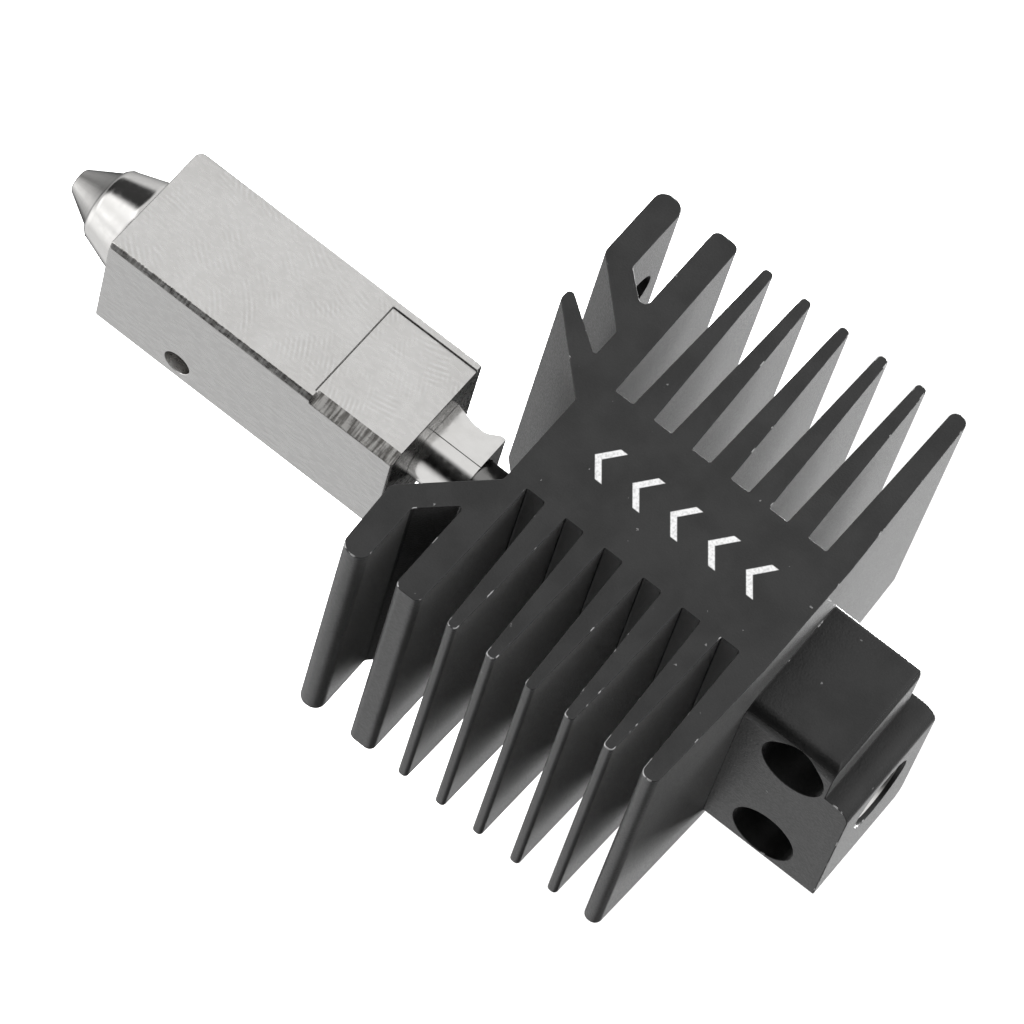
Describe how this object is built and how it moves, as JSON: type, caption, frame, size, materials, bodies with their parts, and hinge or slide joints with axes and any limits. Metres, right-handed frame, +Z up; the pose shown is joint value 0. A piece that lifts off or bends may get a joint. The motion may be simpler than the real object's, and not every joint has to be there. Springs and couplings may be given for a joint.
{
  "type": "printer hotend assembly",
  "caption": "Finned black heatsink on a heat break, with a stepped heater block and a conical nozzle at its lower end.",
  "frame": {"origin": "centre of the nozzle's tip, on the filament axis", "axes": "+Z up along the filament axis from the nozzle to the filament inlet, -Y out of the flat front of the fins, +X towards the side of the shorter fins"},
  "size_m": [0.0221, 0.0148, 0.043],
  "materials": {
    "black_anodised": "satin black anodised",
    "nickel_plate": "milled and nickel plated",
    "stainless": "turned and polished",
    "hard_steel": "turned and polished"
  },
  "bodies": {
    "root": {"heatsink": "black_anodised", "inlet_sleeve": "stainless", "heat_break_tube": "stainless", "heat_break_collar": "nickel_plate", "heater_block": "nickel_plate", "nozzle": "hard_steel"}
  },
  "joints": []
}
